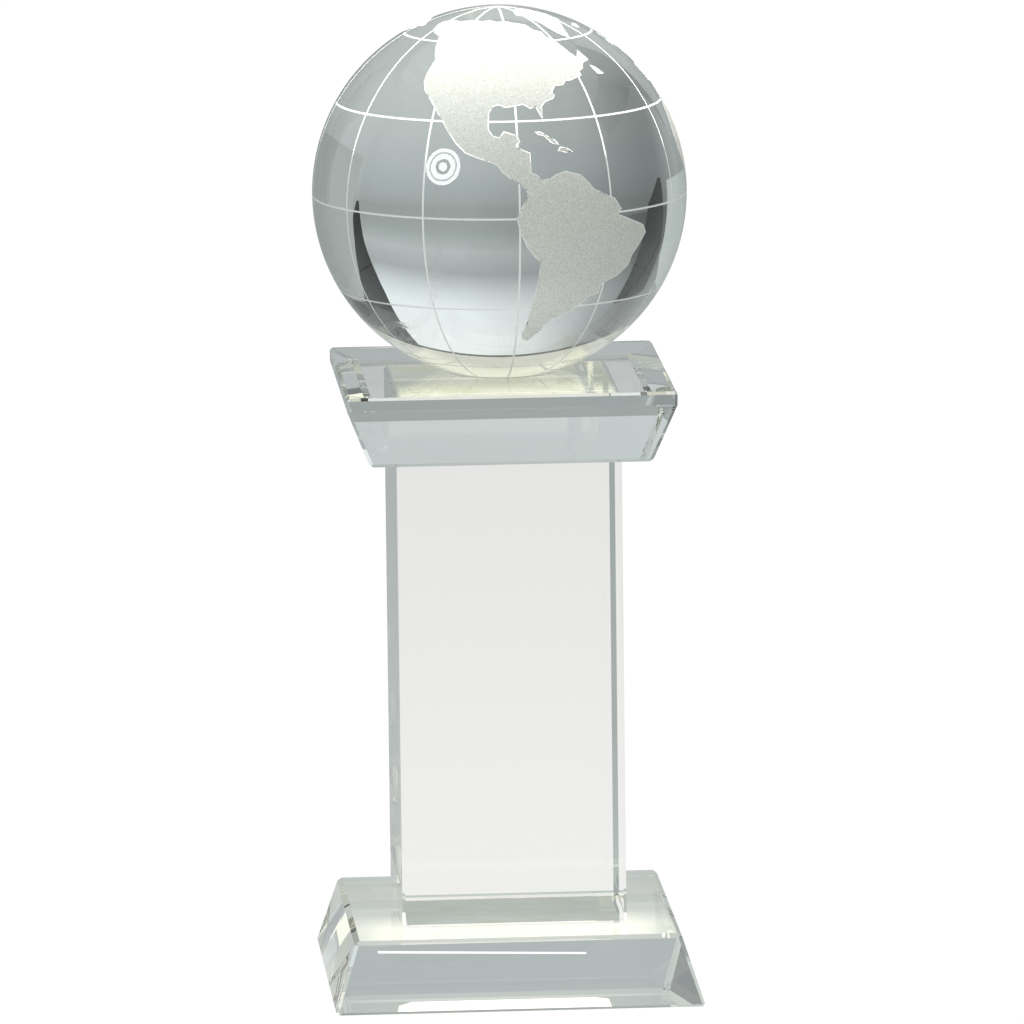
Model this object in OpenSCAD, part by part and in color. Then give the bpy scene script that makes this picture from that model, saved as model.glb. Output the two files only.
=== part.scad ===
// Column trophy in clear optical glass.
//
// Four ground and polished blocks stand one on the other: a low tapered base
// block, a tall square column, a square cap block that widens upwards, and a
// solid ball with a small flat ground on it. Each joint is a thin film of clear
// adhesive, cured between two flat faces. Nothing moves.
//
// Axes: X is the width seen from the front, Y the depth, Z is up. The origin is
// the middle of the underside. All sizes are in millimetres.

/* [Part] */
// Which piece to build

/* [Globe] */
// Diameter of the solid ball
globe_diameter = 80; // [60:1:100]
// Diameter of the flat ground on the ball where it stands
globe_flat_width = 24; // [16:1:36]

/* [Cap block] */
// Width and depth of the top face
cap_top_width = 70; // [60:1:90]
// Width and depth of the underside
cap_bottom_width = 60; // [50:1:80]
// Height of the sloping part
cap_taper_height = 12.8; // [8:0.2:24]
// Height of the upright band above the slope
cap_band_height = 3; // [2:0.2:8]

/* [Column] */
// Width, left to right
column_width = 48; // [30:0.5:60]
// Depth, front to back
column_depth = 45.5; // [30:0.5:60]
// Height between its two bonded faces
column_height = 101; // [60:0.5:200]

/* [Base block] */
// Width and depth of the underside
base_bottom_width = 79; // [64:1:120]
// Width and depth of the top face
base_top_width = 69.5; // [60:1:110]
// Height of the block
base_height = 15; // [8:0.5:40]

/* [Finish] */
// Polished bevel along every edge of a block
edge_bevel = 0.6; // [0.3:0.1:0.9]
// Thickness of a cured adhesive film
bond_thickness = 0.15; // [0.1:0.05:0.3]
// How far a film stops short of the edge of the joint
bond_margin = 1.2; // [1:0.1:3]

/* [Hidden] */
$fn = 160;
GLASS = "#C9D3D2";
FILM = "#E4E6DE";
SPAN = 200; // longer than any block is wide

// Heights of the joints, from the floor up.
base_top_z = base_height;
column_bottom_z = base_top_z + bond_thickness;
column_top_z = column_bottom_z + column_height;
cap_bottom_z = column_top_z + bond_thickness;
cap_top_z = cap_bottom_z + cap_taper_height + cap_band_height;
globe_flat_z = cap_top_z + bond_thickness;

// The ball's centre stands this far above its flat.
globe_rise = sqrt(pow(globe_diameter / 2, 2) - pow(globe_flat_width / 2, 2));
globe_centre_z = globe_flat_z + globe_rise;

// One upright outline of a block, seen from the side, as a slab that runs right
// through it. levels is a list of [height, half width], from the bottom up. The
// first and last corners are cut back by the bevel.
module side_slab(levels, bevel, turn) {
    last = len(levels) - 1;
    low = levels[0];
    high = levels[last];
    low_slope = (levels[1][1] - low[1]) / (levels[1][0] - low[0]);
    high_slope = (high[1] - levels[last - 1][1]) / (high[0] - levels[last - 1][0]);
    right = concat(
        [[low[1] - bevel, low[0]], [low[1] + low_slope * bevel, low[0] + bevel]],
        [for (i = [1:1:last - 1]) [levels[i][1], levels[i][0]]],
        [[high[1] - high_slope * bevel, high[0] - bevel], [high[1] - bevel, high[0]]]
    );
    left = [for (i = [len(right) - 1:-1:0]) [-right[i][0], right[i][1]]];
    rotate([0, 0, turn])
        rotate([90, 0, 0])
            linear_extrude(height = SPAN, center = true)
                polygon(concat(right, left));
}

// Half width across the corners once each upright edge has its bevel.
function across_corners(half_x, half_y, bevel) = (half_x + half_y - bevel) / sqrt(2);

// A block with flat faces and a bevel on every edge. sections is a list of
// [height, width, depth] from the bottom up.
module bevelled_block(sections, bevel) {
    across = [for (s = sections) [s[0], across_corners(s[1] / 2, s[2] / 2, bevel)]];
    intersection() {
        side_slab([for (s = sections) [s[0], s[1] / 2]], bevel, 0);
        side_slab([for (s = sections) [s[0], s[2] / 2]], bevel, 90);
        side_slab(across, bevel / 2, 45);
        side_slab(across, bevel / 2, 135);
    }
}

// A flat film of adhesive between two blocks.
module square_film(width, depth) {
    translate([-width / 2, -depth / 2, 0])
        cube([width, depth, bond_thickness]);
}

module base_block() {
    color(GLASS)
        bevelled_block([
            [0, base_bottom_width, base_bottom_width],
            [base_height, base_top_width, base_top_width]
        ], edge_bevel);
}

module base_bond() {
    color(FILM)
        translate([0, 0, base_top_z])
            square_film(column_width - 2 * bond_margin, column_depth - 2 * bond_margin);
}

module column() {
    color(GLASS)
        translate([0, 0, column_bottom_z])
            bevelled_block([
                [0, column_width, column_depth],
                [column_height, column_width, column_depth]
            ], edge_bevel);
}

module cap_bond() {
    color(FILM)
        translate([0, 0, column_top_z])
            square_film(column_width - 2 * bond_margin, column_depth - 2 * bond_margin);
}

module cap_block() {
    color(GLASS)
        translate([0, 0, cap_bottom_z])
            bevelled_block([
                [0, cap_bottom_width, cap_bottom_width],
                [cap_taper_height, cap_top_width, cap_top_width],
                [cap_taper_height + cap_band_height, cap_top_width, cap_top_width]
            ], edge_bevel);
}

module globe_bond() {
    color(FILM)
        translate([0, 0, cap_top_z])
            cylinder(d = globe_flat_width - bond_margin, h = bond_thickness);
}

module globe() {
    color(GLASS)
        difference() {
            translate([0, 0, globe_centre_z])
                sphere(d = globe_diameter);
            translate([-SPAN / 2, -SPAN / 2, globe_flat_z - SPAN])
                cube([SPAN, SPAN, SPAN]);
        }
}

base_block();
base_bond();
column();
cap_bond();
cap_block();
globe_bond();
globe();
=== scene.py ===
"""Column trophy in polished glass: base block, column, cap block and a ball with a frosted map."""

import math

import bmesh
import bpy
from mathutils import Matrix, Vector


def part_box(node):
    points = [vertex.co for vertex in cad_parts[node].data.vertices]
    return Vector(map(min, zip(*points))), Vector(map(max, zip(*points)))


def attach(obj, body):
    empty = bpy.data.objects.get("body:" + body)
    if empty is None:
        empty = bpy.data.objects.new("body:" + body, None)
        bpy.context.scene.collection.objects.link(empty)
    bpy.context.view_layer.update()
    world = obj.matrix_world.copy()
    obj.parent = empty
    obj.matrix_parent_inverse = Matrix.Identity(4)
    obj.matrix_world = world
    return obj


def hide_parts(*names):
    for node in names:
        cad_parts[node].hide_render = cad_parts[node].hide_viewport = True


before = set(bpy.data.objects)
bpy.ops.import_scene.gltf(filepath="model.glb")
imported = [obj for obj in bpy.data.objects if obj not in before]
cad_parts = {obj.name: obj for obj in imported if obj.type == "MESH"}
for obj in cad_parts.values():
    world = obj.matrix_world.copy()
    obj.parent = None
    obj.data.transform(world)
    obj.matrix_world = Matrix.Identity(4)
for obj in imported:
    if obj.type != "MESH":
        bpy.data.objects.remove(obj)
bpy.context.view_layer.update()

MM = 0.001

# Sizes of the surface patterns. Real grit marks are near 0.05 mm, too fine to show, so they are
# drawn coarser.
GRIT = 0.4 * MM
POLISHING_HAZE = 2.5 * MM
ADHESIVE_CLOUD = 8 * MM

GLASS_IOR = 1.52


# ---------------------------------------------------------------- small tools


def linear(hex_colour):
    """An sRGB hex colour as linear red, green, blue and alpha."""
    channels = [int(hex_colour[i : i + 2], 16) / 255 for i in (1, 3, 5)]
    return [c / 12.92 if c <= 0.04045 else ((c + 0.055) / 1.055) ** 2.4 for c in channels] + [1.0]


def add_node(tree, kind, settings=None, inputs=None, links=None):
    """Adds a node, sets its properties and sockets, and links sockets to other nodes' outputs."""
    node = tree.nodes.new(kind)
    for name, value in (settings or {}).items():
        setattr(node, name, value)
    for socket, value in (inputs or {}).items():
        node.inputs[socket].default_value = value
    for socket, (source, output) in (links or {}).items():
        tree.links.new(source.outputs[output], node.inputs[socket])
    return node


def set_ramp(node, stops):
    """Fills a colour ramp with (position, linear colour) stops."""
    ramp = node.color_ramp
    while len(ramp.elements) > 1:
        ramp.elements.remove(ramp.elements[0])
    ramp.elements[0].position, ramp.elements[0].color = stops[0]
    for position, colour in stops[1:]:
        ramp.elements.new(position).color = colour


def new_material(name):
    """An empty node material."""
    material = bpy.data.materials.new(name)
    material.use_nodes = True
    material.node_tree.nodes.clear()
    return material


def grey(value):
    """A linear grey."""
    return [value, value, value, 1.0]


# ------------------------------------------------------------------ materials


def polished_glass(name, tint):
    """Optical crown glass, ground flat and polished with cerium oxide: sharp refraction and clean
    reflections, with the faintest haze left by the polishing."""
    material = new_material(name)
    tree = material.node_tree
    place = add_node(tree, "ShaderNodeTexCoord")
    haze = add_node(
        tree,
        "ShaderNodeTexNoise",
        inputs={"Scale": 1 / POLISHING_HAZE, "Detail": 2.0},
        links={"Vector": (place, "Object")},
    )
    roughness = add_node(
        tree,
        "ShaderNodeMapRange",
        inputs={"From Min": 0.35, "From Max": 0.75, "To Min": 0.0, "To Max": 0.0012},
        links={"Value": (haze, "Fac")},
    )
    glass = add_node(
        tree,
        "ShaderNodeBsdfPrincipled",
        inputs={
            "Base Color": linear(tint),
            "Metallic": 0.0,
            "IOR": GLASS_IOR,
            "Transmission Weight": 1.0,
        },
        links={"Roughness": (roughness, "Result")},
    )
    add_node(tree, "ShaderNodeOutputMaterial", links={"Surface": (glass, "BSDF")})
    return material


def sandblasted_glass(name, tint, roughness, clear_share):
    """Glass sandblasted through a mask with fine grit: a white, matt, slightly grainy skin that
    lets clear_share of the light through."""
    material = new_material(name)
    tree = material.node_tree
    place = add_node(tree, "ShaderNodeTexCoord")
    grit = add_node(
        tree,
        "ShaderNodeTexNoise",
        inputs={"Scale": 1 / GRIT, "Detail": 3.0, "Roughness": 0.7},
        links={"Vector": (place, "Object")},
    )
    low, high = tint
    colour = add_node(tree, "ShaderNodeValToRGB", links={"Fac": (grit, "Fac")})
    set_ramp(colour, [(0.35, linear(low)), (0.65, linear(high))])
    bump = add_node(
        tree,
        "ShaderNodeBump",
        inputs={"Strength": 0.25, "Distance": 0.05 * MM},
        links={"Height": (grit, "Fac")},
    )
    skin = add_node(
        tree,
        "ShaderNodeBsdfPrincipled",
        inputs={
            "Metallic": 0.0,
            "Roughness": roughness,
            "IOR": GLASS_IOR,
            "Transmission Weight": clear_share,
        },
        links={"Base Color": (colour, "Color"), "Normal": (bump, "Normal")},
    )
    add_node(tree, "ShaderNodeOutputMaterial", links={"Surface": (skin, "BSDF")})
    return material


def cured_adhesive(name, tint):
    """Clear adhesive cured between two polished faces. It has the glass's own index, so a joint
    lets light straight through and all but vanishes, bar faint clouds where it is thicker."""
    material = new_material(name)
    tree = material.node_tree
    place = add_node(tree, "ShaderNodeTexCoord")
    flow = add_node(
        tree,
        "ShaderNodeTexNoise",
        inputs={"Scale": 1 / ADHESIVE_CLOUD, "Detail": 2.0},
        links={"Vector": (place, "Object")},
    )
    clouds = add_node(tree, "ShaderNodeValToRGB", links={"Fac": (flow, "Fac")})
    thick, thin = tint
    set_ramp(clouds, [(0.35, linear(thick)), (0.65, linear(thin))])
    joint = add_node(tree, "ShaderNodeBsdfTransparent", links={"Color": (clouds, "Color")})
    add_node(tree, "ShaderNodeOutputMaterial", links={"Surface": (joint, "BSDF")})
    return material


BLOCK_GLASS = polished_glass("polished_crown_glass", "#F8FBFA")
BALL_GLASS = polished_glass("polished_ball_glass", "#F8FBFA")
JOINT = cured_adhesive("cured_acrylic_adhesive", ("#FBFBF6", "#FFFFFE"))
FROSTED = sandblasted_glass("sandblasted_glass", ("#D2D2C9", "#F6F6F0"), 0.6, 0.35)
ETCHED = sandblasted_glass("etched_line", ("#F8F8F4", "#FFFFFF"), 0.45, 0.2)
LIGHTLY_ETCHED = sandblasted_glass("lightly_etched_line", ("#FAFAF8", "#FFFFFF"), 0.12, 0.93)


# ----------------------------------------------------------------- the blocks


def finish_piece(bm, name, materials, node):
    """Turns a bmesh into a piece that stands for its CAD node and rides with the trophy."""
    mesh = bpy.data.meshes.new(name)
    bm.to_mesh(mesh)
    bm.free()
    for material in materials:
        mesh.materials.append(material)
    piece = bpy.data.objects.new(name, mesh)
    bpy.context.scene.collection.objects.link(piece)
    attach(piece, "root")
    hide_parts(node)
    return piece


BEVEL = 0.6 * MM
WAIST_BEVEL = 0.2 * MM

# Edges turning by more than SHARP get the full bevel, and those between SLIGHT and MODERATE, at
# the cap's waist, get the small one.
SHARP = math.radians(40)
MODERATE = math.radians(30)
SLIGHT = math.radians(12)


def lay_joint(bm, height, rim):
    """Marks off the bonded patch, a closed rim of points, on the block's level face at height."""
    level = [f for f in bm.faces if abs(abs(f.normal.z) - 1) < 0.001]
    face = max(
        (f for f in level if abs(f.calc_center_median().z - height) < 0.1 * MM),
        key=lambda f: f.calc_area(),
    )
    up = face.normal.copy()
    outer = list(face.edges)
    bmesh.ops.delete(bm, geom=[face], context="FACES_ONLY")
    verts = [bm.verts.new((x, y, height)) for x, y in rim]
    inner = [bm.edges.new((a, b)) for a, b in zip(verts, verts[1:] + verts[:1])]
    filled = bmesh.ops.triangle_fill(bm, use_beauty=True, edges=outer + inner, normal=up)["geom"]
    filled = [f for f in filled if isinstance(f, bmesh.types.BMFace)]
    bonded = [f for f in filled if all(v in verts for v in f.verts)]
    if not bonded:
        bonded = [bm.faces.new(verts)]
    for f in bonded:
        f.material_index = 1
    for f in filled:
        if f.normal.dot(up) < 0:
            f.normal_flip()
    for f in bonded:
        f.normal_update()
        if f.normal.dot(up) < 0:
            f.normal_flip()


def film_rim(node):
    """The outline of a rectangular adhesive film."""
    low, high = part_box(node)
    return [(low.x, low.y), (high.x, low.y), (high.x, high.y), (low.x, high.y)]


def round_rim(node, points=64):
    """The outline of a round adhesive film."""
    low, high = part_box(node)
    radius = (high.x - low.x) / 2
    return [
        (radius * math.cos(2 * math.pi * i / points), radius * math.sin(2 * math.pi * i / points))
        for i in range(points)
    ]


def glass_block(name, node, levels, joints):
    """A ground and polished block. levels is (height, width, depth) from the bottom up, and joints
    is (height, rim) for each bonded patch."""

    def set_ring(ring, level):
        """Sets four corners to a level of the block."""
        height, width, depth = level
        for v in ring:
            x = math.copysign(width / 2, v.co.x)
            y = math.copysign(depth / 2, v.co.y)
            v.co = Vector((x, y, height))

    def take_off_edges(edges, size):
        """Grinds a flat bevel along edges."""
        bmesh.ops.bevel(
            bm,
            geom=edges,
            offset=size,
            offset_type="OFFSET",
            affect="EDGES",
            segments=1,
            profile=0.5,
            material=-1,
        )
        bm.normal_update()

    bm = bmesh.new()
    bmesh.ops.create_cube(bm, size=1.0)
    bottom = [v for v in bm.verts if v.co.z < 0]
    top = [v for v in bm.verts if v.co.z > 0]
    set_ring(bottom, levels[0])
    set_ring(top, levels[1])
    for level in levels[2:]:
        lid = max(bm.faces, key=lambda f: f.calc_center_median().z)
        grown = bmesh.ops.extrude_face_region(bm, geom=[lid])["geom"]
        bmesh.ops.delete(bm, geom=[lid], context="FACES_ONLY")
        set_ring([g for g in grown if isinstance(g, bmesh.types.BMVert)], level)
    bm.normal_update()
    take_off_edges([e for e in bm.edges if e.calc_face_angle(0) > SHARP], BEVEL)
    waist = [e for e in bm.edges if SLIGHT < e.calc_face_angle(0) < MODERATE]
    if waist:
        take_off_edges(waist, WAIST_BEVEL)
    for height, rim in joints:
        lay_joint(bm, height, rim)
    bmesh.ops.recalc_face_normals(bm, faces=bm.faces)
    return finish_piece(bm, name, [BLOCK_GLASS, JOINT], node)


base_low, base_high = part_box("base_block")
column_low, column_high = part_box("column")
cap_low, cap_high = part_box("cap_block")
globe_low, globe_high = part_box("globe")

BASE_BOTTOM = 79 * MM
BASE_TOP = 69.5 * MM
CAP_BOTTOM = 60 * MM
CAP_TOP = 70 * MM
CAP_TAPER = 12.8 * MM
COLUMN_WIDTH = 48 * MM
COLUMN_DEPTH = 45.5 * MM

glass_block(
    "base_glass",
    "base_block",
    [(base_low.z, BASE_BOTTOM, BASE_BOTTOM), (base_high.z, BASE_TOP, BASE_TOP)],
    [(base_high.z, film_rim("base_bond"))],
)
glass_block(
    "column_glass",
    "column",
    [(column_low.z, COLUMN_WIDTH, COLUMN_DEPTH), (column_high.z, COLUMN_WIDTH, COLUMN_DEPTH)],
    [(column_low.z, film_rim("base_bond")), (column_high.z, film_rim("cap_bond"))],
)
glass_block(
    "cap_glass",
    "cap_block",
    [
        (cap_low.z, CAP_BOTTOM, CAP_BOTTOM),
        (cap_low.z + CAP_TAPER, CAP_TOP, CAP_TOP),
        (cap_high.z, CAP_TOP, CAP_TOP),
    ],
    [(cap_low.z, film_rim("cap_bond")), (cap_high.z, round_rim("globe_bond"))],
)

for film in ("base_bond", "cap_bond", "globe_bond"):
    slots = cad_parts[film].data.materials
    slots.clear()
    slots.append(JOINT)


# -------------------------------------------------------------------- the map

# The longitude that faces the front, and the land as outlines of (longitude, latitude) in degrees.
FRONT_LONGITUDE = -92.4

NORTH_AMERICA = [
    (-157, 70), (-152, 66), (-146, 64), (-138, 62.5), (-134, 58), (-131.5, 55), (-128.5, 52),
    (-129, 46), (-128.5, 43), (-126.5, 40), (-123.5, 37.5), (-118, 32), (-113, 26), (-110.5, 23),
    (-107, 20), (-103, 18.5), (-99.5, 17.5), (-96.5, 16), (-95, 14), (-92.5, 12), (-90, 10.5),
    (-88, 9), (-84.5, 9.5), (-83, 11.5), (-84, 13), (-86, 14), (-86, 20), (-89.5, 21.5),
    (-90.5, 22.5), (-89, 23.5), (-90, 25.5), (-94.5, 27), (-96, 25), (-98, 25.5), (-99.5, 27.5),
    (-99.5, 33), (-98, 35), (-96, 35.5), (-93.5, 34.5), (-90, 35), (-87, 35.5), (-84.5, 34),
    (-82.5, 34.5), (-80.5, 30), (-80, 34.5), (-78.5, 36), (-75, 37), (-74, 38), (-74.5, 39.5),
    (-72.5, 41.5), (-69, 41.5), (-67, 43), (-64.5, 43), (-58, 44.5), (-58, 46), (-55, 47),
    (-53, 49), (-48, 50), (-50, 54.5), (-54, 51.5), (-56, 54), (-59.5, 60), (-63, 62), (-63, 65),
    (-68, 66.5), (-71, 70), (-80, 71.5), (-88, 73), (-97, 72.5), (-105, 74), (-112, 73),
    (-120, 73.5), (-136, 72), (-146, 72.5),
]
SOUTH_AMERICA = [
    (-88, 9), (-87.5, 7.5), (-88, 6), (-90, 2.5), (-91, 0), (-90, -4), (-88, -8.5), (-85.5, -12),
    (-83.5, -13.5), (-84, -21), (-86, -31), (-86.5, -36), (-88, -40.5), (-87.5, -43), (-85, -44),
    (-82, -40.5), (-80, -39), (-79.5, -36.5), (-76, -34), (-70.5, -32), (-69, -30), (-66.5, -29),
    (-65, -27), (-61, -26), (-61, -23.5), (-59, -22), (-55, -20.5), (-51, -17.5), (-50, -14),
    (-47.5, -11), (-45, -7.5), (-46.5, -5), (-50, -3.5), (-57.5, -0.5), (-56, 1), (-58.5, 4.5),
    (-62, 6), (-66, 8), (-67.5, 10), (-70, 12.5), (-75, 14), (-78.5, 13), (-80, 12), (-83, 11.5),
    (-84.5, 9.5),
]
GREENLAND = [
    (-46, 60), (-51, 63), (-53.5, 67), (-54, 70), (-60, 75.5), (-70, 77.5), (-62, 81.5),
    (-35, 83.5), (-20, 81), (-20, 75), (-25, 70), (-33, 68), (-40, 65),
]
EURASIA = [
    (-9, 37), (-9, 43), (-2, 43.5), (-1, 46), (-4.5, 48.5), (2, 51), (8, 54), (8.5, 57), (11, 56),
    (10.5, 54), (14, 54), (20, 54.5), (21, 57), (24, 57.5), (23.5, 59), (29, 60), (22, 60),
    (21, 63), (25, 65.5), (22, 65.8), (17, 61), (18.5, 59.5), (14, 55.5), (11, 59), (6, 58.5),
    (5, 61), (12, 66), (19, 70), (28, 71), (40, 67.5), (33, 66.5), (38, 64), (44, 66.5), (44, 68),
    (54, 68.5), (60, 69), (68, 68.5), (67, 72), (73, 71), (80, 73.5), (98, 76.5), (105, 77.5),
    (113, 74), (128, 72.5), (140, 72.5), (160, 69.8), (178, 69), (190, 66), (180, 64.5),
    (177, 62.5), (170, 60), (163, 58.5), (162, 55), (157, 51), (156, 57), (163, 61.5), (155, 59),
    (143, 59.2), (135, 54.7), (140, 53), (140, 48), (133, 43), (128, 40), (129, 36), (126.5, 34.5),
    (126, 37.5), (121.5, 39.5), (118, 39), (122, 37), (119.5, 35), (121.8, 31), (119, 25.5),
    (114, 22.5), (108, 21.5), (106, 18.5), (109, 12), (105, 8.8), (100.5, 13.5), (99.5, 10),
    (103.5, 2), (101, 3), (98, 8), (98, 14), (94.5, 16), (94, 19), (90, 22), (87, 21),
    (80.5, 15.5), (80, 11), (77.5, 8), (73, 17), (72.5, 21), (69, 22.5), (66.5, 25.3), (57, 26.8),
    (51, 28), (48.5, 30), (51.5, 24.5), (56, 26), (59.5, 22.5), (55, 17.5), (45, 13), (43, 13),
    (39, 20.5), (35, 28), (32.5, 30), (34.5, 31.5), (36, 36), (30, 36.5), (27, 37.5), (26, 40),
    (29, 41), (35, 42), (41, 41.5), (37.5, 44.5), (39, 47), (35, 46), (33, 45), (30.5, 46.5),
    (28, 43.5), (28.3, 41.3), (23.5, 40.5), (24, 38), (22.5, 36.5), (19.5, 40.5), (13.5, 45.5),
    (12.5, 44), (18.5, 40), (16, 38), (12, 42), (9, 44.3), (4, 43.5), (0, 40.5), (-2, 36.7),
    (-6, 36),
]
AFRICA = [
    (-6, 35.6), (10, 37.2), (11, 33.5), (20, 31), (25, 31.8), (32, 31), (32.3, 29.8), (35.5, 24),
    (37.5, 18.5), (43, 11.5), (51, 12), (46, 3), (40, -3), (40.5, -11), (35, -20), (35.5, -24),
    (32.5, -28), (27, -34), (20, -34.8), (18, -32), (14.5, -22.5), (12, -16), (13.5, -9), (9, -1),
    (9.5, 4), (5, 6), (-2, 5), (-8, 4.5), (-13, 8.5), (-17, 14.5), (-16.5, 21), (-13, 27.5),
    (-9.5, 30.5),
]
AUSTRALIA = [
    (114, -22), (114, -26.5), (115.5, -34), (124, -33.5), (131, -31.5), (137.5, -35), (141, -38.3),
    (146, -39), (150, -37.3), (153, -31), (153, -25.5), (146, -19), (142.3, -11), (140.5, -17.5),
    (136, -15.5), (136.5, -12), (131, -11.8), (126, -14), (122, -18),
]
ISLANDS = [
    [
        (-84, 26.5), (-82, 26.5), (-79.5, 25), (-77, 23.5), (-76, 22), (-78.5, 22.5), (-81, 25),
        (-83, 25.5),
    ],
    [(-77, 20), (-76, 21.5), (-73.5, 21), (-71.5, 19.5), (-74.5, 19.5), (-76, 20)],
    [(-50, 48), (-47.5, 47), (-46.5, 46), (-45, 44), (-47.5, 44), (-49, 44.5)],
    [(49.3, -12), (50.3, -15.5), (47, -25), (44, -24.5), (44.5, -16.5)],
    [(109, 1.5), (113, 3), (117, 7), (119, 5), (117.5, 1), (116, -4), (110.5, -3)],
    [(95.3, 5.6), (98.5, 3.8), (106, -3), (105.5, -5.8), (102, -4), (97, 1)],
    [(105.5, -6.6), (114.4, -7.4), (114, -8.9), (106.5, -7.8)],
    [
        (131, -1), (134.5, -1), (138, -1.7), (145, -4.5), (150.5, -10.5), (144.5, -7.7),
        (141, -9), (137.5, -5.2), (133, -4),
    ],
    [(120.5, 18.5), (122, 18.3), (121.5, 14.2), (124, 12.6), (120.5, 14)],
    [(122, 7), (125.5, 9.7), (126.5, 7.3), (125.3, 5.7)],
    [
        (130, 31.5), (132, 31.3), (135.8, 33.5), (140.8, 35.7), (141.8, 39.5), (140, 41),
        (139, 38), (136, 36.5), (131, 34.4),
    ],
    [(140, 42), (143.2, 42), (145.3, 43.3), (141.7, 45.4)],
    [
        (-5.5, 50.1), (1.4, 51.2), (1.6, 52.7), (-1.6, 55), (-2, 57.6), (-5, 58.6), (-6, 56.5),
        (-3, 54.8), (-4.8, 52.5),
    ],
    [(-10, 52), (-6.3, 52.2), (-5.8, 54.6), (-8, 55.2), (-9.8, 53.8)],
    [(-24, 65.4), (-22.5, 63.9), (-18.5, 63.4), (-13.7, 65), (-16, 66.4), (-20.5, 66)],
    [(172.8, -34.5), (178.3, -37.7), (175.2, -41.5), (173.8, -39.2), (174.7, -37)],
    [(172.8, -40.6), (174.2, -41.8), (171, -44.5), (168.8, -46.6), (166.6, -45.8), (170.5, -43)],
    [(80, 9.5), (81.8, 7), (80.3, 6)],
    [(144.8, -40.8), (148.2, -41), (147, -43.5), (145.8, -43)],
]
LAND = [NORTH_AMERICA, SOUTH_AMERICA, GREENLAND, EURASIA, AFRICA, AUSTRALIA] + ISLANDS

GLOBE_RADIUS = 40 * MM
GLOBE_CENTRE = globe_high.z - GLOBE_RADIUS
MAP_LINE = 0.42 * MM
COAST_LINE = 0.22 * MM
GRID_STEP = 30
GROOVE_TILT = 0.6
GROOVES_TILT_ABOVE = 0.3
LONGITUDE_SEGMENTS = 240
LATITUDE_SEGMENTS = 120

# The ball's materials in order, and the number that a face has for each.
BALL_SKINS = [BALL_GLASS, FROSTED, ETCHED, JOINT, LIGHTLY_ETCHED]
FROSTED_LAND, NEAR_LINE, BONDED_FLAT, FAR_LINE = 1, 2, 3, 4


def on_ball(longitude, latitude):
    """The point on the unit ball for a longitude and latitude in degrees."""
    turn = math.radians(longitude - FRONT_LONGITUDE)
    rise = math.radians(latitude)
    return Vector((math.sin(turn) * math.cos(rise), -math.cos(turn) * math.cos(rise), math.sin(rise)))


def map_place(point):
    """Longitude and latitude in degrees of a point on the ball."""
    unit = point.normalized()
    longitude = math.degrees(math.atan2(unit.x, -unit.y)) + FRONT_LONGITUDE
    return longitude, math.degrees(math.asin(max(-1.0, min(1.0, unit.z))))


def inside(outline, longitude, latitude):
    """Whether a place is inside a coastline, by counting crossings."""
    middle = sum(p[0] for p in outline) / len(outline)
    x = (longitude - middle + 180) % 360 - 180 + middle
    hit = False
    for (ax, ay), (bx, by) in zip(outline, outline[1:] + outline[:1]):
        if (ay > latitude) != (by > latitude):
            if x < ax + (latitude - ay) / (by - ay) * (bx - ax):
                hit = not hit
    return hit


def cut_coast(ball, outline):
    """Cuts the ball's skin along a coastline, one short great-circle cut for each stretch of it.
    Only faces near the stretch are cut."""
    longest_face = 1.1 * MM
    points = [on_ball(*p) * GLOBE_RADIUS for p in outline]
    centre = sum(points, Vector()) / len(points)
    span = max((p - centre).length for p in points) + 4 * MM
    band = {f for f in ball.faces if (f.calc_center_median() - centre).length < span}
    for start, end in zip(points, points[1:] + points[:1]):
        middle = (start + end) / 2
        reach = (end - start).length / 2 + longest_face
        near = [f for f in band if f.is_valid and (f.calc_center_median() - middle).length < reach]
        parts = {e for f in near for e in f.edges} | {v for f in near for v in f.verts}
        made = bmesh.ops.bisect_plane(
            ball,
            geom=near + list(parts),
            dist=1e-6,
            plane_co=(0, 0, 0),
            plane_no=start.cross(end).normalized(),
        )["geom"]
        band.update(g for g in made if isinstance(g, bmesh.types.BMFace))


def cut_all(ball, at, normal):
    """Cuts the whole skin by one plane."""
    bmesh.ops.bisect_plane(
        ball,
        geom=ball.verts[:] + ball.edges[:] + ball.faces[:],
        dist=1e-6,
        plane_co=at,
        plane_no=normal,
    )


def set_ball_normals(mesh):
    """Gives the skin the true ball's normals. On the upper lines they lean up, because the lower
    wall of an etched groove faces up and catches the light from above."""
    centre = Vector((0, 0, GLOBE_CENTRE))
    normals = [None] * len(mesh.loops)
    for polygon in mesh.polygons:
        for loop in polygon.loop_indices:
            corner = mesh.vertices[mesh.loops[loop].vertex_index].co
            outward = (corner - centre).normalized()
            if polygon.material_index == BONDED_FLAT:
                outward = Vector((0, 0, -1))
            elif polygon.material_index == NEAR_LINE and outward.z > GROOVES_TILT_ABOVE:
                outward = (outward + Vector((0, 0, GROOVE_TILT))).normalized()
            normals[loop] = outward
    mesh.normals_split_custom_set(normals)


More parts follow.
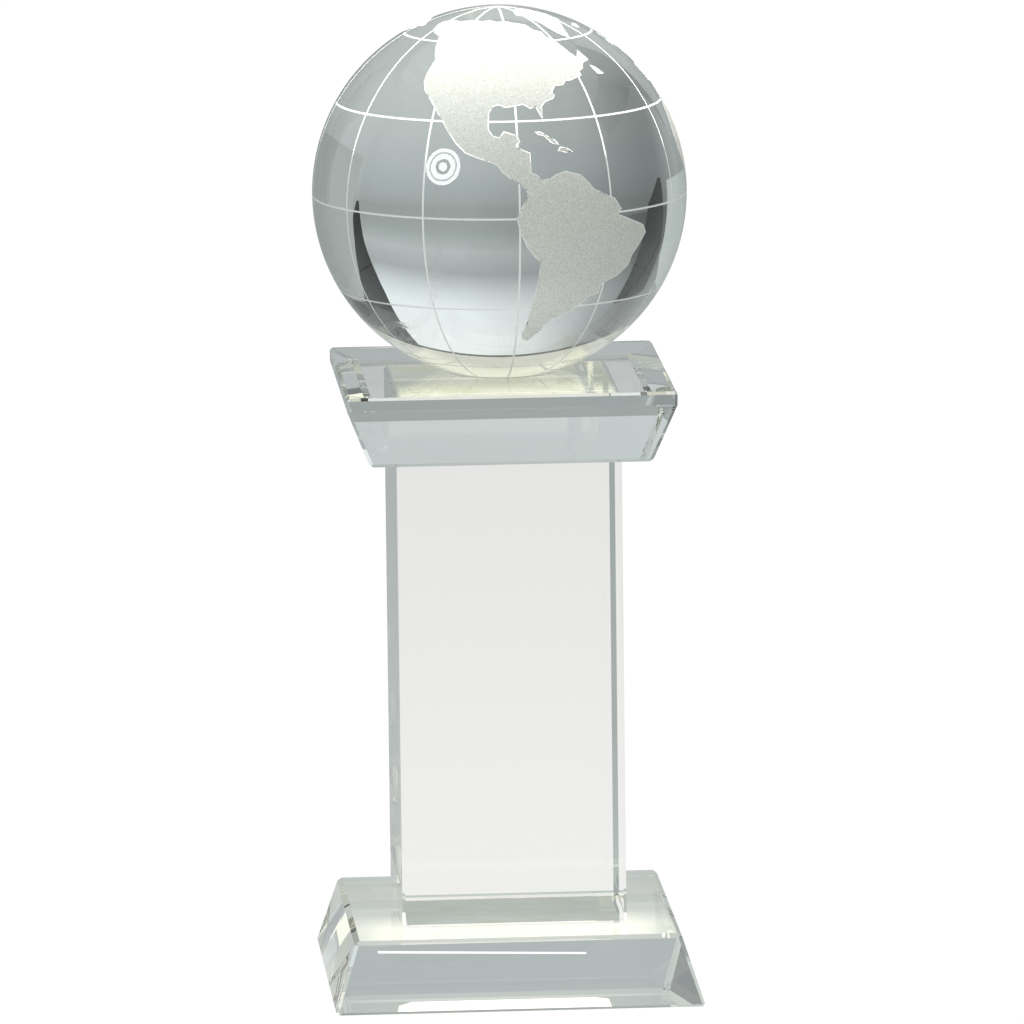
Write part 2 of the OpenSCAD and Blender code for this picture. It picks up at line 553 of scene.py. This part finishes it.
def build_globe():
    """The ball: clear skin, frosted land, map lines and a ground flat, all in one closed skin."""
    ball = bmesh.new()
    bmesh.ops.create_uvsphere(
        ball,
        u_segments=LONGITUDE_SEGMENTS,
        v_segments=LATITUDE_SEGMENTS,
        radius=GLOBE_RADIUS,
    )
    parallels = range(-60, 61, GRID_STEP)
    for latitude in parallels:
        rise = GLOBE_RADIUS * math.sin(math.radians(latitude))
        half = MAP_LINE / 2 * math.cos(math.radians(latitude))
        for side in (-1, 1):
            cut_all(ball, (0, 0, rise + side * half), (0, 0, 1))
    up = Vector((0, 0, 1))
    sides = [on_ball(longitude, 0).cross(up) for longitude in range(0, 180, GRID_STEP)]
    for side in sides:
        for way in (-1, 1):
            cut_all(ball, side * way * MAP_LINE / 2, side)
    for outline in LAND:
        cut_coast(ball, outline)
    for v in ball.verts:
        v.co = v.co.normalized() * GLOBE_RADIUS
    flat = globe_low.z - GLOBE_CENTRE
    bmesh.ops.bisect_plane(
        ball,
        geom=ball.verts[:] + ball.edges[:] + ball.faces[:],
        dist=1e-6,
        plane_co=(0, 0, flat),
        plane_no=(0, 0, -1),
        clear_outer=True,
    )
    for face in ball.faces:
        face.smooth = True
        middle = face.calc_center_median()
        longitude, latitude = map_place(middle)
        off_parallels = [abs(math.radians(latitude - p)) * GLOBE_RADIUS for p in parallels]
        off_meridians = [abs(middle.dot(side)) for side in sides]
        if any(inside(outline, longitude, latitude) for outline in LAND):
            face.material_index = FROSTED_LAND
        elif min(off_parallels + off_meridians) < MAP_LINE / 2:
            face.material_index = NEAR_LINE
    land = [f for f in ball.faces if f.material_index == FROSTED_LAND]
    coast = bmesh.ops.inset_region(ball, faces=land, thickness=COAST_LINE, depth=0.0)["faces"]
    for face in coast:
        face.material_index = NEAR_LINE
        face.smooth = True
    for v in ball.verts:
        if v.co.z > flat + 1e-6:
            v.co = v.co.normalized() * GLOBE_RADIUS
    rim = [e for e in ball.edges if e.is_boundary]
    lid = bmesh.ops.contextual_create(ball, geom=rim)["faces"]
    for face in lid:
        face.material_index = BONDED_FLAT
        face.smooth = False
    for face in ball.faces:
        if face.material_index == NEAR_LINE and face.calc_center_median().y > 0:
            face.material_index = FAR_LINE
    bmesh.ops.recalc_face_normals(ball, faces=ball.faces)
    bmesh.ops.triangulate(ball, faces=[f for f in ball.faces if len(f.verts) > 4])
    bmesh.ops.translate(ball, verts=ball.verts, vec=(0, 0, GLOBE_CENTRE))
    piece = finish_piece(ball, "globe_glass", BALL_SKINS, "globe")
    set_ball_normals(piece.data)


build_globe()


# --------------------------------------------------------- floor, light, camera


def stage_piece(name, bm, material, **seen_by):
    """A floor, card or lamp that isn't part of the trophy, and what kinds of ray see it."""
    mesh = bpy.data.meshes.new(name)
    bm.to_mesh(mesh)
    bm.free()
    mesh.materials.append(material)
    piece = bpy.data.objects.new(name, mesh)
    bpy.context.scene.collection.objects.link(piece)
    for ray in ("camera", "diffuse", "glossy", "transmission", "volume_scatter", "shadow"):
        setattr(piece, "visible_" + ray, seen_by.get(ray, False))
    return piece


def glow(name, colour, strength=1.0):
    """A plain light-giving surface."""
    material = new_material(name)
    tree = material.node_tree
    light = add_node(tree, "ShaderNodeEmission", inputs={"Color": colour, "Strength": strength})
    add_node(tree, "ShaderNodeOutputMaterial", links={"Surface": (light, "Emission")})
    return material


def flat_sheet(corners):
    """A flat sheet with the given corners."""
    bm = bmesh.new()
    bm.faces.new([bm.verts.new(c) for c in corners])
    return bm


def seen_from_ball(turn, rise, distance):
    """The point at a level distance from the ball, turn degrees to the right of straight behind
    the trophy and rise degrees above level."""
    a = math.radians(turn)
    return Vector(
        (
            distance * math.sin(a),
            distance * math.cos(a),
            GLOBE_CENTRE + distance * math.tan(math.radians(rise)),
        )
    )


# Most of the stage is seen only in reflections and through the glass, not by the camera itself. Its
# boards, cards and strips glow: painted light and painted shade for a lit room.
IN_GLASS = {"diffuse": True, "glossy": True, "transmission": True}
TABLE_HALF = 8.0
TABLE_FALL_REACH = 2.0
ROOM_DISTANCE = 1.25
NEAR_DISTANCE = 1.0


def table_sheet(height):
    """A square table top at a height."""
    h = TABLE_HALF
    return flat_sheet([(-h, -h, height), (h, -h, height), (h, h, height), (-h, h, height)])


# Brightness round the room, from straight in front of the trophy on its left, past its back,
# to the front again: (degrees to the right of straight behind, share of full brightness).
ROUND_THE_WALLS = [
    (-180, 0.9),
    (-120, 0.9),
    (-95, 0.8),
    (-83, 0.35),
    (-58, 0.25),
    (-48, 0.18),
    (-38, 0.16),
    (-32, 0.25),
    (-22, 0.42),
    (-15, 0.58),
    (-7, 0.76),
    (2, 0.86),
    (12, 1.0),
    (50, 1.0),
    (75, 0.5),
    (95, 0.6),
    (120, 0.9),
    (180, 0.9),
]
ROUND_THE_TABLE = [
    (-180, 1.0),
    (-120, 1.0),
    (-95, 0.9),
    (-85, 0.50),
    (-78, 0.62),
    (-60, 0.75),
    (-50, 0.55),
    (-42, 0.38),
    (-35, 0.40),
    (-26, 0.50),
    (-20, 0.60),
    (-13, 0.72),
    (-7, 0.77),
    (3, 0.90),
    (10, 1.0),
    (180, 1.0),
]


def round_the_room(tree, right, behind, levels):
    """Brightness by direction round the room, from the two level parts of a direction."""
    angle = add_node(tree, "ShaderNodeMath", {"operation": "ARCTAN2"}, links={0: right, 1: behind})
    share = add_node(
        tree,
        "ShaderNodeMapRange",
        inputs={"From Min": -math.pi, "From Max": math.pi},
        links={"Value": (angle, "Value")},
    )
    ramp = add_node(tree, "ShaderNodeValToRGB", links={"Fac": (share, "Result")})
    set_ramp(ramp, [((degrees + 180) / 360, grey(level)) for degrees, level in levels])
    return ramp


# The table top as the camera sees it: plain and pale.
WHITE_BACKDROP = 1.02
stage_piece(
    "table_top",
    table_sheet(-0.02 * MM),
    glow("pale_table", grey(1.0), WHITE_BACKDROP),
    camera=True,
)


def shaded_table():
    """The same table top as the glass sees it, all painted light and shade: it falls off in brightness
    away from the trophy, is darker just outside the base as a painted contact shadow, changes round
    the trophy as painted shade, and has a painted glow under the base, where the blocks gather light."""
    material = new_material("table_painted_light")
    tree = material.node_tree
    place = add_node(tree, "ShaderNodeTexCoord")
    axes = add_node(tree, "ShaderNodeSeparateXYZ", links={"Vector": (place, "Object")})
    reach = add_node(
        tree,
        "ShaderNodeVectorMath",
        {"operation": "LENGTH"},
        links={0: (place, "Object")},
    )
    fall = add_node(
        tree,
        "ShaderNodeMapRange",
        inputs={"From Min": 0.0, "From Max": TABLE_FALL_REACH},
        links={"Value": (reach, "Value")},
    )
    ramp = add_node(tree, "ShaderNodeValToRGB", links={"Fac": (fall, "Result")})
    # Painted light: bright under the base, a painted contact shadow just outside it, then falling off
    # with distance.
    set_ramp(
        ramp,
        [
            (0.0, [0.70, 0.71, 0.64, 1]),
            (0.018, [0.72, 0.74, 0.69, 1]),
            (0.03, [0.50, 0.53, 0.52, 1]),
            (0.06, [0.55, 0.58, 0.58, 1]),
            (0.12, [0.58, 0.62, 0.61, 1]),
            (0.20, [0.52, 0.56, 0.55, 1]),
            (0.30, [0.46, 0.50, 0.50, 1]),
            (0.50, [0.41, 0.45, 0.45, 1]),
            (1.0, [0.33, 0.36, 0.35, 1]),
        ],
    )
    sides = round_the_room(tree, (axes, "X"), (axes, "Y"), ROUND_THE_TABLE)
    both = add_node(
        tree,
        "ShaderNodeMix",
        {"data_type": "RGBA", "blend_type": "MULTIPLY"},
        inputs={"Factor": 1.0},
        links={"A": (ramp, "Color"), "B": (sides, "Color")},
    )
    near = add_node(
        tree,
        "ShaderNodeMapRange",
        inputs={"From Min": 0.06, "From Max": 0.27},
        links={"Value": (reach, "Value")},
    )
    table = add_node(
        tree,
        "ShaderNodeMix",
        {"data_type": "RGBA"},
        links={"Factor": (near, "Result"), "A": (ramp, "Color"), "B": (both, "Result")},
    )
    lit_back = add_node(
        tree,
        "ShaderNodeMapRange",
        inputs={"From Min": -9 * MM, "From Max": 5 * MM, "To Min": 1.0, "To Max": 0.0},
        links={"Value": (axes, "Y")},
    )
    across = add_node(
        tree,
        "ShaderNodeMath",
        {"operation": "ABSOLUTE"},
        links={0: (axes, "X")},
    )
    lit_side = add_node(
        tree,
        "ShaderNodeMapRange",
        inputs={"From Min": 26 * MM, "From Max": 40 * MM, "To Min": 1.0, "To Max": 0.0},
        links={"Value": (across, "Value")},
    )
    lit_front = add_node(
        tree,
        "ShaderNodeMapRange",
        inputs={"From Min": -44 * MM, "From Max": -38 * MM},
        links={"Value": (axes, "Y")},
    )
    lit_depth = add_node(
        tree,
        "ShaderNodeMath",
        {"operation": "MULTIPLY"},
        links={0: (lit_back, "Result"), 1: (lit_front, "Result")},
    )
    lit = add_node(
        tree,
        "ShaderNodeMath",
        {"operation": "MULTIPLY"},
        links={0: (lit_depth, "Value"), 1: (lit_side, "Result")},
    )
    # Painted glow under the base, standing in for the light the blocks gather there.
    under = add_node(
        tree,
        "ShaderNodeMix",
        {"data_type": "RGBA"},
        inputs={"B": [1.75, 1.71, 1.44, 1]},
        links={"Factor": (lit, "Value"), "A": (table, "Result")},
    )
    light = add_node(tree, "ShaderNodeEmission", links={"Color": (under, "Result")})
    add_node(tree, "ShaderNodeOutputMaterial", links={"Surface": (light, "Emission")})
    return material


stage_piece("table_in_the_glass", table_sheet(-0.04 * MM), shaded_table(), **IN_GLASS)

# A glowing card just behind the column brightens its front face: painted light standing in for a lit
# white card.
CARD_HALF = 34 * MM
CARD_BACK = column_high.y + 4 * MM
CARD_LOW = base_high.z + 0.4 * MM
CARD_HIGH = cap_low.z - 1 * MM


def upright_sheet(left, right, back, low, high):
    """An upright sheet facing the front."""
    return flat_sheet([(left, back, low), (right, back, low), (right, back, high), (left, back, high)])


def painted_light_card():
    """Painted light for a lit white card: a glowing sheet, painted a little brighter at its foot."""
    material = new_material("glowing_card_painted_light")
    tree = material.node_tree
    place = add_node(tree, "ShaderNodeTexCoord")
    axes = add_node(tree, "ShaderNodeSeparateXYZ", links={"Vector": (place, "Object")})
    share = add_node(
        tree,
        "ShaderNodeMapRange",
        inputs={"From Min": CARD_LOW, "From Max": CARD_HIGH},
        links={"Value": (axes, "Z")},
    )
    ramp = add_node(tree, "ShaderNodeValToRGB", links={"Fac": (share, "Result")})
    set_ramp(ramp, [(0.0, [0.955, 0.925, 0.915, 1]), (1.0, [0.865, 0.840, 0.835, 1])])
    light = add_node(tree, "ShaderNodeEmission", links={"Color": (ramp, "Color")})
    add_node(tree, "ShaderNodeOutputMaterial", links={"Surface": (light, "Emission")})
    return material


stage_piece(
    "glowing_card_painted_light",
    upright_sheet(-CARD_HALF, CARD_HALF, CARD_BACK, CARD_LOW, CARD_HIGH),
    painted_light_card(),
    transmission=True,
)


def curved_sheet(left, right, distance):
    """A sheet standing round the ball, between two edges given as (turn, rise) points."""
    bm = bmesh.new()
    rows = [
        [bm.verts.new(seen_from_ball(turn, rise, distance)) for turn, rise in pair]
        for pair in zip(left, right)
    ]
    for (a, b), (d, c) in zip(rows, rows[1:]):
        bm.faces.new([a, b, c, d])
    return bm


def arc_strip(start, end, low, high, distance):
    """A level strip round the ball between two turns and two rises, in short flat lengths."""
    degrees_in_a_length = 4
    count = max(1, round(abs(end - start) / degrees_in_a_length))
    turns = [start + (end - start) * i / count for i in range(count + 1)]
    bm = bmesh.new()
    rows = [
        [bm.verts.new(seen_from_ball(turn, rise, distance)) for rise in (low, high)]
        for turn in turns
    ]
    for (a, b), (d, c) in zip(rows, rows[1:]):
        bm.faces.new([a, d, c, b])
    return bm


# The right-hand board stands on the table between these two places.
BOARD_BACK = Vector((0.38, 0.48))
BOARD_FRONT = Vector((0.46, -0.25))


def on_board(turn, rise):
    """The point on the right-hand board in a direction from the ball."""
    a = math.radians(turn)
    along = BOARD_FRONT - BOARD_BACK
    across = math.sin(a) * along.y - math.cos(a) * along.x
    reach = (BOARD_BACK.x * along.y - BOARD_BACK.y * along.x) / across
    height = max(0.0, GLOBE_CENTRE + reach * math.tan(math.radians(rise)))
    return (reach * math.sin(a), reach * math.cos(a), height)


# The grey board has a leaning back edge, and a near-black sheet behind it paints the shade in the gap
# there.
LEANING_EDGE = [(38, -16), (41, -5), (42, 5), (44, 14), (47, 22), (50, 26)]
BOARD_FRONT_TURN = 110
board = bmesh.new()
leaning_side = [board.verts.new(on_board(turn, rise)) for turn, rise in LEANING_EDGE]
front_side = [board.verts.new(on_board(BOARD_FRONT_TURN, rise)) for turn, rise in LEANING_EDGE]
front_side[0].co.z = 0
for i in range(len(LEANING_EDGE) - 1):
    board.faces.new([leaning_side[i], front_side[i], front_side[i + 1], leaning_side[i + 1]])
# The board glows: painted light for a lit grey board.
stage_piece("right_board", board, glow("grey_board", [0.40, 0.43, 0.42, 1]), **IN_GLASS)
stage_piece(
    "right_gap",
    curved_sheet(
        [(40, -5), (39, 5), (38, 9), (37, 13), (36, 19), (36, 26)],
        [(41, -5), (46, 5), (48, 9), (50, 13), (52, 19), (56, 26)],
        ROOM_DISTANCE,
    ),
    glow("painted_shade_gap", grey(0.01)),
    **IN_GLASS,
)
stage_piece(
    "right_dark_ceiling",
    arc_strip(36, 100, 26, 43, ROOM_DISTANCE),
    glow("dark_ceiling", grey(0.08)),
    **IN_GLASS,
)
# A thin dark line of painted shade where the backdrop meets the ceiling.
stage_piece(
    "painted_shade_ceiling_line",
    arc_strip(-36, 42, 41, 42.5, ROOM_DISTANCE),
    glow("painted_shade_ceiling_line", grey(0.10)),
    **IN_GLASS,
)
# The reflector glows: painted light for a lit grey reflector.
stage_piece(
    "left_reflector",
    curved_sheet(
        [(-82, -8), (-82, 14), (-82, 34)],
        [(-49, -8), (-49, 14), (-56, 24)],
        ROOM_DISTANCE,
    ),
    glow("grey_reflector_left", [0.52, 0.57, 0.56, 1]),
    **IN_GLASS,
)
# A near-black sheet paints the shade in the gap on the left.
stage_piece(
    "left_gap",
    curved_sheet(
        [(-44, -9), (-45, -3), (-46, 4), (-47, 12), (-46, 24)],
        [(-42, -9), (-36, -3), (-35, 4), (-33, 12), (-30, 24)],
        NEAR_DISTANCE,
    ),
    glow("painted_shade_gap_left", grey(0.01)),
    **IN_GLASS,
)


# A glowing sheet paints the light gathered by the glass as a bright patch on the table just behind the
# base.
PAINTED_CAUSTIC_PATCH = [
    (-22, 47), (24, 47), (25, 50), (24, 54), (21, 54.5), (-19, 54.5), (-22, 53.5), (-23, 49),
]
stage_piece(
    "painted_caustic_patch",
    flat_sheet([(x * MM, y * MM, 0.3 * MM) for x, y in PAINTED_CAUSTIC_PATCH]),
    glow("painted_caustic_patch", [1.5, 1.48, 1.38, 1]),
    transmission=True,
)


def behind_base(x, z):
    """A point a hair behind the base's sloping back face."""
    slope = (BASE_BOTTOM - BASE_TOP) / 2 / (base_high.z - base_low.z)
    return (x, BASE_BOTTOM / 2 - slope * z + 0.3 * MM, z)


# A thin glowing slat there, a painted highlight, shines through the base's front.
stage_piece(
    "painted_highlight_slat",
    flat_sheet(
        [
            behind_base(-27.5 * MM, 5.1 * MM),
            behind_base(17.8 * MM, 6.4 * MM),
            behind_base(17.8 * MM, 6.8 * MM),
            behind_base(-27.5 * MM, 5.6 * MM),
        ]
    ),
    glow("painted_highlight_slat", grey(1.2)),
    transmission=True,
)

# The room: its brightness by height and round the walls. The camera itself sees a white backdrop.
world = bpy.data.worlds.new("studio")
bpy.context.scene.world = world
world.use_nodes = True
sky = world.node_tree
sky.nodes.clear()
direction = add_node(sky, "ShaderNodeTexCoord")
axes = add_node(sky, "ShaderNodeSeparateXYZ", links={"Vector": (direction, "Generated")})
ramp = add_node(sky, "ShaderNodeValToRGB", links={"Fac": (axes, "Z")})
set_ramp(
    ramp,
    [
        (0.0, [0.34, 0.37, 0.36, 1]),
        (0.02, [0.36, 0.40, 0.39, 1]),
        (0.08, [0.47, 0.50, 0.50, 1]),
        (0.17, [0.38, 0.41, 0.415, 1]),
        (0.26, [0.66, 0.705, 0.71, 1]),
        (0.35, [0.86, 0.91, 0.92, 1]),
        (0.5, [0.90, 0.95, 0.95, 1]),
        (1.0, [1.0, 1.0, 0.98, 1]),
    ],
)
sides = round_the_room(sky, (axes, "X"), (axes, "Y"), ROUND_THE_WALLS)
both = add_node(
    sky,
    "ShaderNodeMix",
    {"data_type": "RGBA", "blend_type": "MULTIPLY"},
    inputs={"Factor": 1.0},
    links={"A": (ramp, "Color"), "B": (sides, "Color")},
)
high_up = add_node(
    sky,
    "ShaderNodeMapRange",
    inputs={"From Min": 0.675, "From Max": 0.70},
    links={"Value": (axes, "Z")},
)
overhead = add_node(
    sky,
    "ShaderNodeMix",
    {"data_type": "RGBA"},
    inputs={"B": [0.66, 0.65, 0.56, 1]},
    links={"Factor": (high_up, "Result"), "A": (both, "Result")},
)
studio = add_node(
    sky,
    "ShaderNodeBackground",
    inputs={"Strength": 1.0},
    links={"Color": (overhead, "Result")},
)
backdrop = add_node(
    sky,
    "ShaderNodeBackground",
    inputs={"Color": grey(1.0), "Strength": WHITE_BACKDROP},
)
ray = add_node(sky, "ShaderNodeLightPath")
split = add_node(
    sky,
    "ShaderNodeMixShader",
    links={0: (ray, "Is Camera Ray"), 1: (studio, "Background"), 2: (backdrop, "Background")},
)
add_node(sky, "ShaderNodeOutputWorld", links={"Surface": (split, "Shader")})


def soft_lamp(name, size, power, at, aim):
    """A square soft box that lights the frosted glass and is seen nowhere itself."""
    data = bpy.data.lights.new(name, "AREA")
    data.shape = "SQUARE"
    data.size = size
    data.energy = power
    lamp = bpy.data.objects.new(name, data)
    bpy.context.scene.collection.objects.link(lamp)
    lamp.location = at
    lamp.rotation_euler = (Vector(aim) - Vector(at)).to_track_quat("-Z", "Y").to_euler()
    lamp.visible_camera = False
    lamp.visible_glossy = False
    lamp.visible_transmission = False


soft_lamp("soft_box_above", 0.7, 33.0, (0, 0.38, 1.18), (0, 0, 0.15))
soft_lamp("soft_box_front", 0.5, 3.0, (-0.2, -1.2, 0.02), (0, 0, 0.15))

CAMERA_TURN = math.radians(-3.77)
CAMERA_RISE = math.radians(9.87)
CAMERA_ROLL = math.radians(-0.664)
CAMERA_DISTANCE = 2.599
AIM = Vector((0.0019, 0, 0.101))

camera_data = bpy.data.cameras.new("camera")
camera_data.lens = 426.0
camera_data.sensor_width = 36.0
camera_data.clip_start = 0.1
camera_data.clip_end = 40.0
camera = bpy.data.objects.new("camera", camera_data)
bpy.context.scene.collection.objects.link(camera)
bpy.context.scene.camera = camera
back = Vector(
    (
        math.sin(CAMERA_TURN) * math.cos(CAMERA_RISE),
        -math.cos(CAMERA_TURN) * math.cos(CAMERA_RISE),
        math.sin(CAMERA_RISE),
    )
)
camera.location = AIM + back * CAMERA_DISTANCE
camera.rotation_mode = "QUATERNION"
roll = Matrix.Rotation(CAMERA_ROLL, 3, "Z").to_quaternion()
camera.rotation_quaternion = (-back).to_track_quat("-Z", "Y") @ roll


def ringed_lamp(direction, distance, width, radiance):
    """A round lamp with a ringed reflector in front of the trophy, seen only as a glint."""
    material = new_material("ringed_lamp")
    tree = material.node_tree
    place = add_node(tree, "ShaderNodeTexCoord")
    reach = add_node(
        tree,
        "ShaderNodeVectorMath",
        {"operation": "LENGTH"},
        links={0: (place, "Object")},
    )
    share = add_node(
        tree,
        "ShaderNodeMapRange",
        inputs={"From Min": 0.0, "From Max": width / 2},
        links={"Value": (reach, "Value")},
    )
    rings = add_node(tree, "ShaderNodeValToRGB", links={"Fac": (share, "Result")})
    rings.color_ramp.interpolation = "CONSTANT"
    levels = [(0.0, 1.0), (0.25, 0.0), (0.41, 1.0), (0.70, 0.25), (0.79, 1.0)]
    set_ramp(rings, [(start, grey(level)) for start, level in levels])
    light = add_node(
        tree,
        "ShaderNodeEmission",
        inputs={"Strength": radiance},
        links={"Color": (rings, "Color")},
    )
    add_node(tree, "ShaderNodeOutputMaterial", links={"Surface": (light, "Emission")})
    bm = bmesh.new()
    bmesh.ops.create_circle(bm, cap_ends=True, segments=64, radius=width / 2)
    lamp = stage_piece("ringed_lamp", bm, material, glossy=True)
    lamp.location = Vector((0, 0, GLOBE_CENTRE)) + direction * distance
    lamp.rotation_mode = "QUATERNION"
    lamp.rotation_quaternion = direction.to_track_quat("Z", "Y")


# The lamp stands this far round to the left of straight ahead, and this far up.
LAMP_TURN = math.radians(40)
LAMP_RISE = math.radians(21.5)
towards_lamp = Vector(
    (
        -math.sin(LAMP_TURN) * math.cos(LAMP_RISE),
        -math.cos(LAMP_TURN) * math.cos(LAMP_RISE),
        math.sin(LAMP_RISE),
    )
)
ringed_lamp(towards_lamp, distance=0.8, width=0.30, radiance=13.0)

scene = bpy.context.scene
scene.view_settings.view_transform = "Standard"
scene.cycles.max_bounces = 32
scene.cycles.transmission_bounces = 32
scene.cycles.glossy_bounces = 16
scene.cycles.diffuse_bounces = 4
scene.cycles.transparent_max_bounces = 32
scene.cycles.caustics_reflective = True
scene.cycles.caustics_refractive = True
scene.cycles.blur_glossy = 0.3
scene.cycles.use_denoising = True
